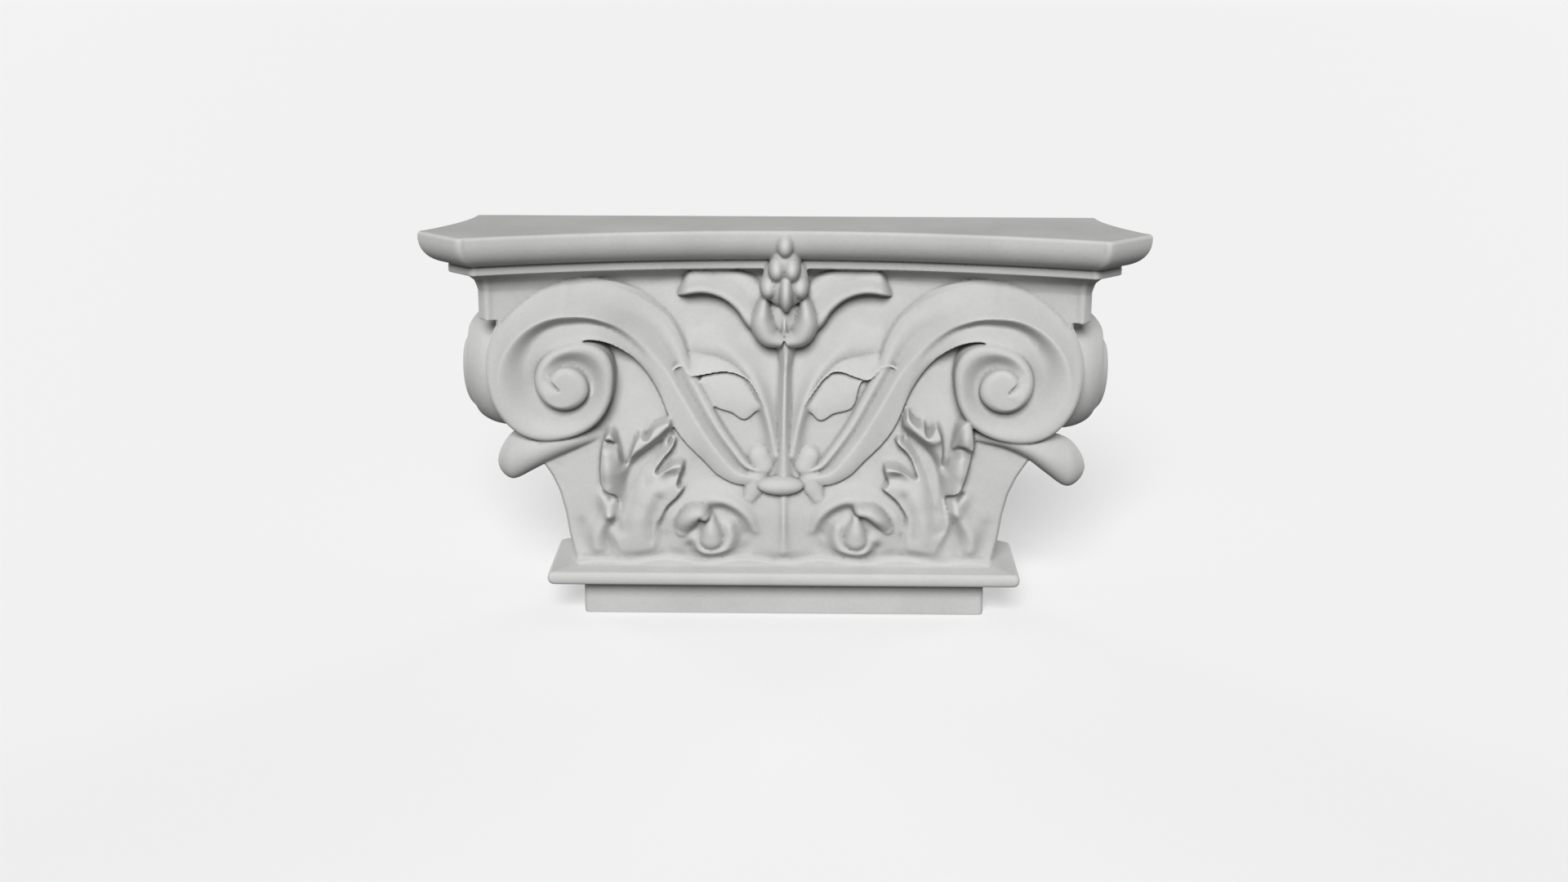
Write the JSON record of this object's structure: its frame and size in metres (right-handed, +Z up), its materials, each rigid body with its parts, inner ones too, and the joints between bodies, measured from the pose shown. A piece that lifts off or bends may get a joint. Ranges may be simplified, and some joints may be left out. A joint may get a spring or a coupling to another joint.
{
  "type": "pilaster capital",
  "caption": "Carved pilaster capital with a concave abacus, corner volutes, scrolling stems, a central flower and acanthus leaves, flat at the back for a wall.",
  "frame": {"origin": "centre of the neck's flat underside, where the capital sits on the pilaster's shaft", "axes": "+X to the right seen from the front, the front faces -Y, +Z up; the flat back is on the wall side, +Y"},
  "size_m": [0.434, 0.086, 0.243],
  "materials": {
    "stone": "smooth light grey carved stone, matt"
  },
  "bodies": {
    "root": {"pilaster_capital": "stone"}
  },
  "joints": []
}
